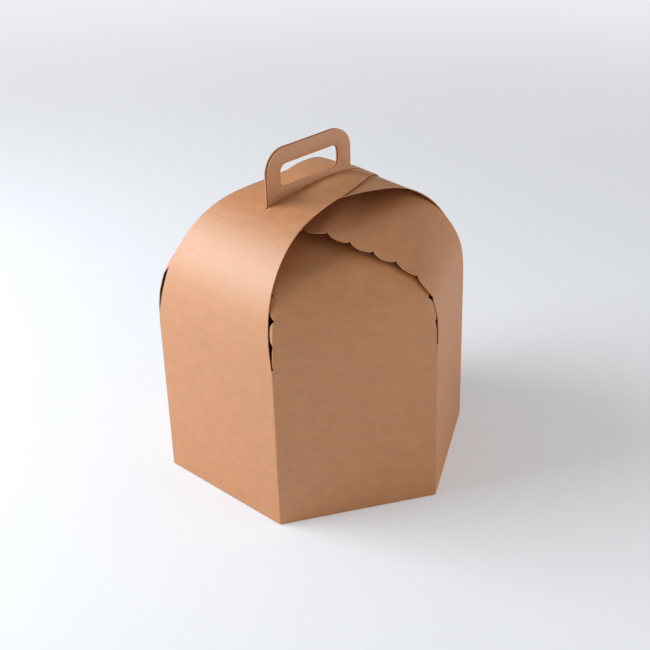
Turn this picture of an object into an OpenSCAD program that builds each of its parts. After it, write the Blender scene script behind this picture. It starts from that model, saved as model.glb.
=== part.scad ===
// Hexagonal gable box folded from one sheet of brown kraft board.
// Two opposite walls run on as tapering bands that arch over the top and cross at the ridge.
// The other four walls run on as petals with scalloped edges, tucked in under the bands.
// Two petals end in the halves of the carrying handle, which stands through slits in the bands.
// X runs from the locking band's wall to the inner band's wall, Z is up, z = 0 is the table.

/* [Board] */
// Thickness of the kraft board
board_t = 0.8; // [0.5:0.1:1.2]
// Air between one layer of board and the next
layer_gap = 0.4; // [0.3:0.1:0.8]

/* [Walls] */
// Width of each of the six walls, from corner fold to corner fold
side_w = 150; // [130:1:170]
// Height of the walls up to the fold line at their top
wall_h = 160; // [100:1:220]
// Width of the glue lap inside one corner
lap_w = 18; // [10:1:30]
// Width of the glue flanges folded in on the base
flange_w = 32; // [20:1:45]
// Distance that glued flaps keep from the corner folds
flap_clear = 2; // [1:0.5:5]

/* [Bands] */
// Radius of a band's gentle curve just above its fold
lower_r = 154; // [140:1:175]
// Angle that the gentle curve turns
lower_turn = 16; // [12:1:20]
// Radius of a band's shoulder
shoulder_r = 92; // [85:1:98]
// Angle left to turn between the shoulder and the ridge
crown_turn = 10; // [8:1:13]
// Width of a band where it crosses the ridge
ridge_w = 80; // [70:1:95]
// Length of a band's rounded tongue past the ridge
tongue_l = 96; // [94:1:100]

/* [Petals] */
// Radius of a petal's gentle curve just above its fold
petal_lower_r = 130; // [110:1:150]
// Angle that this curve turns
petal_lower_turn = 15; // [12:1:18]
// Radius of a petal's shoulder
petal_shoulder_r = 54; // [48:1:60]
// Rise of the flat roof part of a petal, in degrees from level
petal_rise = 20; // [17:1:22]
// Radius where the roof part levels out towards the handle
level_r = 35; // [25:1:50]
// Half width of the level strip at the centre
level_half = 20; // [15:1:24]
// Distance from the centre at which the inner petals end
inner_petal_end = 40; // [36:1:60]
// Radius at which an inner petal bends where it tucks under its neighbour
tuck_r = 22; // [14:1:30]
// Radius at which an outer petal bends where it meets the inside of a band
edge_tuck_r = 5; // [4:1:10]
// How far the roof of an outer petal climbs towards that band, from one edge to the other
edge_lift = 17; // [0:1:18]
// How far a petal's edge is set back from a corner fold
corner_relief = 1.4; // [1.4:0.1:3]

/* [Scallops] */
// Distance from one notch of the scalloped edge to the next
scallop_pitch = 21.75; // [16:0.25:30]
// Depth of a full scallop
scallop_depth = 6.75; // [3:0.25:9]
// Length over which the scallops grow to their full depth
scallop_grow = 75; // [40:5:110]
// How much narrower the petal gets on each side on its way in
petal_taper = 5.5; // [3:0.5:12]

/* [Handle] */
// Width of the handle
handle_w = 106; // [85:1:108]
// Distance of the handle's middle from the centre of the box, towards the inner band
handle_offset = -2.6; // [-4:0.2:4]
// Height of the handle above the ridge
handle_rise = 45; // [36:1:46]
// Radius of the handle's two upper corners
handle_r = 22; // [18:1:26]
// Width of the finger slot
slot_w = 74; // [55:1:76]
// Height of the finger slot
slot_h = 21.5; // [15:0.5:22]
// Corner radius of the finger slot
slot_r = 7; // [3:0.5:7]
// Board left above the finger slot
grip_h = 15; // [10:1:18]
// Air between the two halves of the handle
half_gap = 0.3; // [0.2:0.1:0.6]
// Air between the handle and the long sides of the slits
slit_side_clear = 0.3; // [0.2:0.1:0.6]
// Length of slit left free at the ends of the handle
slit_end_clear = 3; // [2:0.5:8]

/* [Hidden] */
kraft = "#b98455";
kraft_light = "#d9b391";

// Each face has the direction of its outward normal, in degrees from +X
LOCKING_BAND = 180;
INNER_BAND = 0;
OUTER_PETALS = [300, 120];
INNER_PETALS = [240, 60];

apothem = side_w * sqrt(3) / 2;
layer = board_t + layer_gap;
RAD = 180 / PI;
STEPS_PER_SCALLOP = 6;
BEND_CELLS = 4;
ROWS_BELOW_SLIT = 18;
ROWS_ALONG_SLIT = 16;
ROWS_AT_TIP = 3;
ROUND = 64;
LEAST_LIP = 3;
LEAST_COS = 0.2;
EPS = 0.001;

// A profile is a list of [length, turn] stretches that starts upwards at the fold and turns inwards.
// profile_at gives [distance inwards, height above the fold, angle from upright] at arc length s.
function stretch(length, turn, a, s) =
    let (part = turn * s / length, r = turn == 0 ? 0 : length / turn * RAD)
    turn == 0
        ? [s * sin(a), s * cos(a), a]
        : [r * (cos(a) - cos(a + part)), r * (sin(a + part) - sin(a)), a + part];

function profile_at(profile, s, i = 0, from = [0, 0, 0]) =
    let (
        last = i == len(profile) - 1,
        here = last ? s : min(s, profile[i][0]),
        step = stretch(profile[i][0], profile[i][1], from[2], here),
        to = [from[0] + step[0], from[1] + step[1], step[2]]
    )
    last || s <= profile[i][0] ? to : profile_at(profile, s - profile[i][0], i + 1, to);

// The point of a profile at a given height, by halving the stretch that holds it
function at_height(profile, z, lo, hi, turns = 24) =
    let (mid = (lo + hi) / 2, p = profile_at(profile, mid))
    turns == 0
        ? p
        : p[1] < z ? at_height(profile, z, mid, hi, turns - 1) : at_height(profile, z, lo, mid, turns - 1);

function arc_length(r, turn) = r * turn / RAD;

// Band: gentle curve, shoulder and a flat crown whose radius brings the ridge to the centre
crown_start = 90 - crown_turn;
crown_r = (apothem - lower_r * (1 - cos(lower_turn))
    - shoulder_r * (cos(lower_turn) - cos(crown_start))) / cos(crown_start);
BAND = [
    [arc_length(lower_r, lower_turn), lower_turn],
    [arc_length(shoulder_r, crown_start - lower_turn), crown_start - lower_turn],
    [arc_length(crown_r, crown_turn), crown_turn]
];
band_to_ridge = BAND[0][0] + BAND[1][0] + BAND[2][0];
band_rise = profile_at(BAND, band_to_ridge)[1];
ridge_z = wall_h + band_rise;

// Past the ridge a band follows the mirror image of its own curve, down the other side
function band_at(s) =
    s <= band_to_ridge
        ? profile_at(BAND, s)
        : let (p = profile_at(BAND, 2 * band_to_ridge - s)) [2 * apothem - p[0], p[1], 180 - p[2]];

// The inner band nests under the locking band: its curve is pressed down until the tongues clear
tongue_end = band_at(band_to_ridge + tongue_l);
nest_drop = layer / sin(tongue_end[2]) * band_rise / tongue_end[1];
inner_band_scale = 1 - nest_drop / band_rise;

// Petal: gentle curve, shoulder, straight roof and a level strip at the centre
petal_slope = 90 - petal_rise;
shoulder_in = petal_lower_r * (1 - cos(petal_lower_turn))
    + petal_shoulder_r * (cos(petal_lower_turn) - cos(petal_slope));
roof_l = (apothem - level_half - level_r * cos(petal_slope) - shoulder_in) / sin(petal_slope);
PETAL = [
    [arc_length(petal_lower_r, petal_lower_turn), petal_lower_turn],
    [arc_length(petal_shoulder_r, petal_slope - petal_lower_turn), petal_slope - petal_lower_turn],
    [roof_l, 0],
    [arc_length(level_r, petal_rise), petal_rise],
    [side_w, 0]
];
petal_to_level = PETAL[0][0] + PETAL[1][0] + PETAL[2][0] + PETAL[3][0];
petal_to_centre = petal_to_level + level_half;
crown_z = wall_h + profile_at(PETAL, petal_to_centre)[1];

// Scalloped edge: a crest line that tapers and a row of round bumps that deepen away from the fold
ROUNDNESS = 0.93;
SCALLOP_ONSET = 1.5;
function bump(f) =
    let (low = sqrt(1 - ROUNDNESS * ROUNDNESS), across = (2 * f - 1) * ROUNDNESS)
    (sqrt(1 - across * across) - low) / (1 - low);
function crest(s) =
    let (left = max(0, 1 - s / petal_to_centre))
    side_w / 2 - corner_relief - petal_taper * (1 - left * left);
function scallop_edge(s) =
    let (turns = s / scallop_pitch, f = turns - floor(turns))
    crest(s) - scallop_depth * pow(min(1, s / scallop_grow), SCALLOP_ONSET) * (1 - bump(f));

// Where a neighbour lies over a petal, the petal bends round inside it. In the level section at one
// height this is a straight run, an arc of 60 degrees and a run alongside the neighbour.
// It gives [distance along the petal's own wall, distance inwards, angle turned] at arc length q.
function tuck(q, corner, r) =
    let (
        start = corner - r * tan(30),
        arc = r * 60 / RAD,
        turned = r > 0 ? (q - start) / r * RAD : 0,
        rest = q - start - arc
    )
    q <= start
        ? [q, 0, 0]
        : rest <= 0
            ? [start + r * sin(turned), r * (1 - cos(turned)), turned]
            : [start + r * sin(60) + rest * cos(60), r * (1 - cos(60)) + rest * sin(60), 60];

// How far out the next sheet inside a band or petal can reach at height z above the fold
function inside_of(p) = apothem - p[0] - layer / max(cos(p[2]), LEAST_COS);
function cover_apothem(over, z) =
    over == "band"
        ? inside_of(at_height(BAND, z / inner_band_scale, 0, band_to_ridge))
        : over == "petal" ? inside_of(at_height(PETAL, z, 0, petal_to_level)) : 2 * apothem;

// The roof of an outer petal climbs from its free edge to the edge that meets a band
function climb(s, t) =
    let (f = (s - PETAL[0][0]) / (petal_to_level - PETAL[0][0]), half = crest(s))
    f <= 0 || f >= 1 ? 0 : edge_lift * pow(sin(180 * f), 2) * max(0, t + half) / (2 * half);

// Where the level section of a petal meets the neighbour that covers it, and how far it has climbed
// there. Each turn takes the height from the turn before.
function corner_at(over, climbs, s, z, own, bend_r, risen = 0, turns = 4) =
    let (
        corner = (cover_apothem(over, z + risen) - own / 2) / sin(60),
        there = climbs ? climb(s, corner - bend_r * tan(30)) : 0
    )
    turns == 0 || !climbs ? [corner, there] : corner_at(over, climbs, s, z, own, bend_r, there, turns - 1);

// Columns past the line where a petal starts to bend, up to its edge. They keep a small width where
// the bend lies outside the petal.
function bend_columns(start, edge) =
    let (from = min(start, edge - LEAST_LIP))
    [for (k = [0 : BEND_CELLS]) from + (edge - from) * k / BEND_CELLS];

// One row of points across a petal, from lo to hi counterclockwise along its wall. A kind of petal is
// what covers its two edges, how tightly it bends there, and whether its roof climbs.
OUTER = [["none", "band"], [0, edge_tuck_r], true];
INNER = [["band", "petal"], [tuck_r, tuck_r], false];
function petal_row(angle, kind, s, lo, hi, depth) =
    let (
        p = profile_at(PETAL, s),
        own = apothem - p[0],
        bends = [for (r = kind[1]) r * min(1, s / scallop_grow)],
        meets = [for (e = [0, 1]) corner_at(kind[0][e], kind[2] && e == 1, s, p[1], own, bends[e])],
        starts = [for (e = [0, 1]) meets[e][0] - bends[e] * tan(30)],
        left = kind[0][0] == "none" ? [-lo] : bend_columns(starts[0], -lo),
        columns = concat([for (k = [len(left) - 1 : -1 : 0]) -left[k]], bend_columns(starts[1], hi))
    )
    [for (t = columns)
        let (
            e = t < 0 ? 0 : 1,
            side = t < 0 ? -1 : 1,
            b = tuck(abs(t), meets[e][0], bends[e]),
            risen = kind[2] ? min(climb(s, t), meets[1][1]) : 0,
            inwards = depth * cos(p[2]),
            out = own - b[1] - inwards * cos(b[2]),
            along = side * (b[0] - inwards * sin(b[2]))
        )
        [
            out * cos(angle) - along * sin(angle),
            out * sin(angle) + along * cos(angle),
            wall_h + p[1] + risen - depth * sin(p[2])
        ]];

// A sheet of board as one solid, from a grid of points on its two faces. Cells that has() refuses
// are cut out.
function in_sheet(has, i, j, rows, cols) = i >= 0 && i < rows && j >= 0 && j < cols && has(i, j);
function quad(a, b, c, d) = [[a, b, c], [a, c, d]];
module sheet(outer, inner, has = function(i, j) true) {
    rows = len(outer) - 1;
    cols = len(outer[0]) - 1;
    wide = cols + 1;
    back = (rows + 1) * wide;
    at = function(i, j) i * wide + j;
    cut = function(i, j) !in_sheet(has, i, j, rows, cols);
    polyhedron(
        points = concat([for (row = outer) each row], [for (row = inner) each row]),
        faces = [for (i = [0 : rows - 1], j = [0 : cols - 1]) if (!cut(i, j))
            let (a = at(i, j), b = at(i, j + 1), c = at(i + 1, j + 1), d = at(i + 1, j))
            each concat(
                quad(a, d, c, b),
                quad(a + back, b + back, c + back, d + back),
                cut(i - 1, j) ? quad(a, b, b + back, a + back) : [],
                cut(i + 1, j) ? quad(c, d, d + back, c + back) : [],
                cut(i, j - 1) ? quad(d, a, a + back, d + back) : [],
                cut(i, j + 1) ? quad(b, c, c + back, b + back) : []
            )],
        convexity = 8
    );
}

// Arc lengths of the grid rows, so that each notch and the end have a row of their own
function petal_rows(end) =
    let (step = scallop_pitch / STEPS_PER_SCALLOP)
    concat([for (k = [0 : ceil(end / step - 0.3) - 1]) k * step], [end]);

// Cut edge of an outer petal along the handle: the largest t that stays on its own side of y = 0
function handle_line(s) =
    let (out = apothem - profile_at(PETAL, s)[0])
    (out * sin(60) - (half_gap + board_t) / 2) / cos(60);

// The petal ends level with the far end of the handle
outer_petal_end = petal_to_centre + (handle_w / 2 + abs(handle_offset)) * cos(60);
module outer_petal(angle) {
    grid = function(depth) [for (s = petal_rows(outer_petal_end))
        petal_row(angle, OUTER, s, -scallop_edge(s), min(scallop_edge(s), handle_line(s)), depth)];
    sheet(grid(0), grid(board_t));
}

inner_petal_length = petal_to_centre
    - (inner_petal_end - level_half - level_r * cos(petal_slope)) / sin(petal_slope)
    - level_half - arc_length(level_r, petal_rise);
module inner_petal(angle) {
    grid = function(depth) [for (s = petal_rows(inner_petal_length))
        petal_row(angle, INNER, s, -scallop_edge(s), scallop_edge(s), depth)];
    sheet(grid(0), grid(board_t));
}

// Half width of a band: a straight taper to the ridge, then a tongue that rounds to a point
TONGUE_POWER = 1.6;
BLUNT_TIP = 0.97;
function band_half(s) =
    let (
        foot = side_w / 2 - board_t / 2,
        crossing = ridge_w / 2,
        past = (s - band_to_ridge) / tongue_l,
        slope = (foot - crossing) / band_to_ridge * tongue_l / crossing
    )
    past <= 0
        ? foot + (crossing - foot) * s / band_to_ridge
        : crossing * (1 - slope * past - (1 - slope) * pow(past, TONGUE_POWER));

// The slit lets the handle through, and reaches as far as the handle sweeps when the band swings open
slit_half = board_t + half_gap / 2 + slit_side_clear;
function reach(s) = let (p = band_at(s)) norm([p[0], p[1]]);
function length_at_reach(r, lo, hi, turns = 24) =
    let (mid = (lo + hi) / 2)
    turns == 0
        ? mid
        : reach(mid) < r ? length_at_reach(r, mid, hi, turns - 1) : length_at_reach(r, lo, mid, turns - 1);
handle_top = ridge_z + handle_rise;
handle_far = apothem + handle_offset + handle_w / 2;
handle_sweep = norm([handle_far - handle_r, handle_top - handle_r - wall_h]) + handle_r;
slit_from = band_to_ridge - handle_w / 2 - abs(handle_offset) - slit_end_clear;
slit_to = length_at_reach(handle_sweep + board_t + layer_gap, band_to_ridge, band_to_ridge + tongue_l);
band_tip = band_to_ridge + tongue_l * BLUNT_TIP;

function spread(from, to, count) = [for (k = [0 : count - 1]) from + (to - from) * k / count];
BAND_ROWS = concat(
    spread(0, slit_from, ROWS_BELOW_SLIT), spread(slit_from, slit_to, ROWS_ALONG_SLIT),
    spread(slit_to, band_tip, ROWS_AT_TIP), [band_tip]
);
function band_columns(s) =
    let (half = band_half(s), mid = (half + slit_half) / 2)
    [-half, -mid, -slit_half, slit_half, mid, half];

module band(angle, scale_z) {
    grid = function(depth) [for (s = BAND_ROWS)
        let (p = band_at(s), out = apothem - p[0] - depth * cos(p[2]))
        [for (t = band_columns(s)) [
            out * cos(angle) - t * sin(angle),
            out * sin(angle) + t * cos(angle),
            wall_h + scale_z * p[1] - depth * sin(p[2])
        ]]];
    middle = 2;
    sheet(grid(0), grid(board_t),
        function(i, j) j != middle || BAND_ROWS[i] < slit_from - EPS || BAND_ROWS[i] > slit_to - EPS);
}

module hexagon(r) {
    polygon([for (k = [0 : 5]) let (a = 30 + 60 * k) r / cos(30) * [cos(a), sin(a)]]);
}

module walls() {
    linear_extrude(wall_h) difference() {
        hexagon(apothem);
        hexagon(apothem - board_t);
    }
}

// The base panel with the flanges of five walls glued down on it. What is glued is drawn half a
// board thicker on its glued side, so that it fuses with what it is glued to.
glued_t = 1.5 * board_t;
module base() {
    linear_extrude(board_t) hexagon(apothem - board_t / 2);
    inner = apothem - board_t;
    long = inner * tan(30) - flap_clear;
    for (k = [1 : 5]) rotate(60 * k) translate([0, 0, board_t / 2]) linear_extrude(glued_t)
        polygon([
            [inner + board_t / 2, -long], [inner + board_t / 2, long],
            [inner - flange_w, long - flange_w], [inner - flange_w, flange_w - long]
        ]);
}

// The lap that closes the wall into a tube, glued inside the corner between a petal wall and its neighbour
module glue_lap() {
    foot = 2 * board_t;
    rotate(240) translate([apothem - 2 * board_t, apothem * tan(30) - lap_w - flap_clear, foot])
        cube([glued_t, lap_w, wall_h - 2 * foot]);
}

module slot_outline(w, h, r) {
    square([w - 2 * r, h], center = true);
    square([w, h - 2 * r], center = true);
    for (x = [-1, 1], y = [-1, 1]) translate([x * (w / 2 - r), y * (h / 2 - r)]) circle(r, $fn = ROUND);
}

// One half of the doubled handle, folded up from the level end of an outer petal
module handle_half(turn) {
    foot = crown_z - board_t / 2;
    translate([handle_offset, 0, 0]) rotate(turn) translate([0, -half_gap / 2, 0])
        rotate([90, 0, 0]) linear_extrude(board_t)
        difference() {
            union() {
                translate([-handle_w / 2, foot]) square([handle_w, handle_top - handle_r - foot]);
                translate([-handle_w / 2 + handle_r, foot])
                    square([handle_w - 2 * handle_r, handle_top - foot]);
                for (x = [-1, 1]) translate([x * (handle_w / 2 - handle_r), handle_top - handle_r])
                    circle(handle_r, $fn = ROUND);
            }
            translate([0, handle_top - grip_h - slot_h / 2]) slot_outline(slot_w, slot_h, slot_r);
        }
}

// Everything but the locking band: one folded and glued sheet
module carton() {
    color(kraft) {
        walls();
        base();
        glue_lap();
        for (angle = INNER_PETALS) inner_petal(angle);
        for (angle = OUTER_PETALS) outer_petal(angle);
        band(INNER_BAND, inner_band_scale);
        for (turn = [0, 180]) handle_half(turn);
    }
}

// The flap that opens first: it hinges on the fold at the top of its wall
module locking_band() {
    color(kraft_light) band(LOCKING_BAND, 1);
}

carton();
locking_band();
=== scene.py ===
"""Hexagonal gable box of brown kraft board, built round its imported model.

Each face starts as a flat grid of the blank. It is laid on the curve that it takes when the box is
folded, joined to its neighbours along the corner folds and given the thickness of the board.
Lengths are metres. X runs from the locking band's wall to the inner band's wall, Z is up, z = 0 is
the table.
"""

import math

import bmesh
import bpy
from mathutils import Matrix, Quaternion, Vector


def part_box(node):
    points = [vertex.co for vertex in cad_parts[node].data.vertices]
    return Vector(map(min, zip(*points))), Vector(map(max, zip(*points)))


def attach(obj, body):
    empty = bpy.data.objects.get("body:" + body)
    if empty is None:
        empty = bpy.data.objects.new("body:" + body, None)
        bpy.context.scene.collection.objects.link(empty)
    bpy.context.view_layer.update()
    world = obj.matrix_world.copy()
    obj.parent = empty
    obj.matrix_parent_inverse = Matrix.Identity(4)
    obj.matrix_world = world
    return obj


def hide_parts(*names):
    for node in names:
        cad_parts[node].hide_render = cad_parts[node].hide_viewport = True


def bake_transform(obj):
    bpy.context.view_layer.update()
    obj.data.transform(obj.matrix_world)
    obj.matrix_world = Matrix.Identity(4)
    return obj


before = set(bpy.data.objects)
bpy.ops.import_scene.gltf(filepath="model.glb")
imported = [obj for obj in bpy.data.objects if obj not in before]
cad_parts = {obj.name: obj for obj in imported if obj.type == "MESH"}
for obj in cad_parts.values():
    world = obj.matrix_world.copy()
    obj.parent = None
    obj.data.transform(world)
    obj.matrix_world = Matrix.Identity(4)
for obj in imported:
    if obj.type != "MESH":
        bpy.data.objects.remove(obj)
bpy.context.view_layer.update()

bl_info = {
    "name": "Hexagonal Gable Box",
    "version": (1, 0, 0),
    "blender": (4, 5, 0),
    "location": "3D View > Sidebar > Gable Box",
    "description": "Folds a hexagonal gable box with a handle from one sheet of kraft board",
    "category": "Mesh",
}

MM = 0.001
CARTON, LOCKING_BAND = "carton", "locking_band"
CARTON_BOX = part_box(CARTON)
FLAP_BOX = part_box(LOCKING_BAND)

# Direction of each face's outward normal, in degrees from +X
LOCKING_WALL, INNER_BAND_WALL = 180, 0
OUTER_PETAL_WALLS = (300, 120)
INNER_PETAL_WALLS = (240, 60)
SEAM_WALL = 240
WALLS = range(0, 360, 60)
COS60, SIN60 = math.cos(math.pi / 3), math.sin(math.pi / 3)
COS30, TAN30 = math.cos(math.pi / 6), math.tan(math.pi / 6)
UPRIGHT = math.pi / 2


# ---- sizes and colours

def length(name, default, text=""):
    return bpy.props.FloatProperty(name=name, description=text, default=default,
                                   min=0.0, unit="LENGTH", precision=5)


def turn(name, degrees):
    return bpy.props.FloatProperty(name=name, default=math.radians(degrees), unit="ROTATION")


def shade(name, default):
    return bpy.props.FloatVectorProperty(name=name, default=default, subtype="COLOR", size=3,
                                         min=0.0, max=1.0)


def share(name, default, most=1.0):
    return bpy.props.FloatProperty(name=name, default=default, min=0.0, max=most)


class BoxSizes(bpy.types.PropertyGroup):
    """Sizes of the folded box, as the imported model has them"""
    board: length("Board thickness", 0.8 * MM)
    layer_gap: length("Layer gap", 0.4 * MM, "Air between one layer of board and the next")
    side: length("Wall width", (CARTON_BOX[1].y - CARTON_BOX[0].y) / 2, "From fold to fold")
    wall: length("Wall height", FLAP_BOX[0].z, "Height of the walls up to their top fold")
    top: length("Height with the handle", CARTON_BOX[1].z)
    lower_r: length("Band lower radius", 154 * MM, "Radius of a band just above its fold")
    lower_turn: turn("Turn of a band just above its fold", 16)
    shoulder_r: length("Band shoulder radius", 92 * MM)
    crown_turn: turn("Turn left between shoulder and ridge", 10)
    ridge_w: length("Band width at the ridge", 80 * MM)
    tongue: length("Tongue length", 96 * MM, "Length of a band's tongue past the ridge")
    petal_lower_r: length("Petal lower radius", 130 * MM, "Radius of a petal just above its fold")
    petal_lower_turn: turn("Turn of a petal just above its fold", 15)
    petal_shoulder_r: length("Petal shoulder radius", 54 * MM)
    petal_rise: turn("Rise of a petal's roof from level", 20)
    level_r: length("Petal level radius", 35 * MM, "Radius where the roof levels out")
    level_half: length("Half width of the level strip", 20 * MM)
    inner_end: length("Inner petal end", 40 * MM, "Its distance from the centre")
    tuck_r: length("Tuck radius", 22 * MM, "Bend of an inner petal under its neighbour")
    edge_tuck_r: length("Edge tuck radius", 5 * MM, "Bend of an outer petal inside a band")
    edge_lift: length("Edge lift", 17 * MM, "Climb of an outer petal's roof towards the band")
    relief: length("Corner relief", 1.4 * MM, "Set-back of a petal's edge from the corner fold")
    pitch: length("Scallop pitch", 21.75 * MM)
    depth: length("Depth of a full scallop", 6.75 * MM)
    grow: length("Scallop growth", 75 * MM, "Length over which scallops reach full depth")
    taper: length("Petal taper", 5.5 * MM, "How much narrower a petal gets on each side")
    handle_w: length("Handle width", 106 * MM)
    handle_left: length("Handle offset", 2.6 * MM, "Distance towards the locking band's wall")
    handle_r: length("Handle corner radius", 22 * MM)
    slot_w: length("Finger slot width", 74 * MM)
    slot_h: length("Finger slot height", 21.5 * MM)
    slot_r: length("Finger slot corner radius", 7 * MM)
    grip: length("Grip height", 15 * MM, "Board left above the finger slot")
    half_gap: length("Gap between the handle halves", 0.3 * MM)
    slit_air: length("Slit side air", 0.3 * MM, "Air between the handle and the slits")
    slit_end: length("Slit end air", 3 * MM, "Slit left free at the ends of the handle")
    lap: length("Glue lap width", 18 * MM)
    flange: length("Base flange width", 32 * MM)
    flap_air: length("Flap clearance", 2 * MM, "Distance of glued flaps from the corner folds")
    bulge: length("Band bulge", 6.3 * MM, "How far the bands bow up behind the handle")
    spring: length("Petal spring", 1.8 * MM, "How far an outer petal springs out above its fold")
    sink: length("Petal sink", 7 * MM, "How far an inner petal sinks away under its neighbour")
    reach: length("Petal reach", 3.0 * MM, "Extra width of an inner petal's scallops near the fold")
    handle_slip: length("Handle slip", 1.2 * MM, "How far the back half sits to the left")
    handle_drop: length("Handle drop", 0.4 * MM, "How far the front half sits below the back half")


class BoardLook(bpy.types.PropertyGroup):
    """Colours and finish of the kraft board"""
    light: shade("Lighter tone of the board", (0.545, 0.232, 0.084))
    dark: shade("Darker tone of the board", (0.445, 0.176, 0.058))
    fleck: shade("Dark fibre flecks", (0.200, 0.065, 0.020))
    pale: shade("Pale fibre flecks", (0.680, 0.330, 0.150))
    fold: shade("Crushed board along a fold", (0.620, 0.290, 0.125))
    # The cut edges' colour is partly their own tone and partly painted shade: it is darkened to
    # stand in for the shadow along rims and in the gap at the handle's edges.
    edge: shade("Die-cut edge of the board", (0.400, 0.160, 0.062))
    rough: share("Roughness of the board", 0.55)
    fleck_share: share("How strongly flecks show", 0.35)
    bump: share("Strength of the fibre relief", 0.30)


class StageSetup(bpy.types.PropertyGroup):
    """Floor, lamps and camera"""
    floor: shade("Colour of the floor", (0.80, 0.81, 0.83))
    backdrop: shade("Colour that the camera sees behind the floor", (0.85, 0.86, 0.885))
    haze: share("Share of backdrop in the floor near the box", 0.30)
    key: share("Watts of the soft lamp on the left", 34.0, 500.0)
    fill: share("Watts of the soft lamp on the right", 6.0, 500.0)
    front: share("Watts of the soft lamp in front", 2.3, 500.0)
    air: share("Strength of the even room light", 0.36, 10.0)
    lens: bpy.props.FloatProperty(name="Focal length of the camera in mm", default=68.32, min=1.0)


# ---- the folded shape

HALVINGS = 30
NOTCH_EPS = 1e-9


def along_profile(profile, s):
    """Distance inwards, height above the fold and angle from upright at arc length s.
    A profile is a list of (length, turn) stretches that starts upwards at the fold."""
    inwards = up = angle = 0.0
    for n, (run, bend) in enumerate(profile):
        last = n == len(profile) - 1
        here = s if last else min(s, run)
        part = bend * here / run
        if bend == 0:
            inwards += here * math.sin(angle)
            up += here * math.cos(angle)
        else:
            r = run / bend
            inwards += r * (math.cos(angle) - math.cos(angle + part))
            up += r * (math.sin(angle + part) - math.sin(angle))
        angle += part
        if last or s <= run:
            break
        s -= run
    return inwards, up, angle


def halve(low, high, is_short):
    """The value between low and high up to which is_short holds."""
    for _ in range(HALVINGS):
        middle = (low + high) / 2
        if is_short(middle):
            low = middle
        else:
            high = middle
    return (low + high) / 2


def at_height(profile, z, end):
    """The point of a profile at a given height, looked for up to arc length end."""
    return along_profile(profile, halve(0, end, lambda s: along_profile(profile, s)[1] < z))


def clamp(value, low=0.0, high=1.0):
    return max(low, min(high, value))


def soft(value, low, high):
    """A smooth step from 0 at low to 1 at high."""
    f = clamp((value - low) / (high - low))
    return f * f * (3 - 2 * f)


def spread(start, end, count):
    """count values from start towards end, without end itself."""
    return [start + (end - start) * k / count for k in range(count)]


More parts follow.
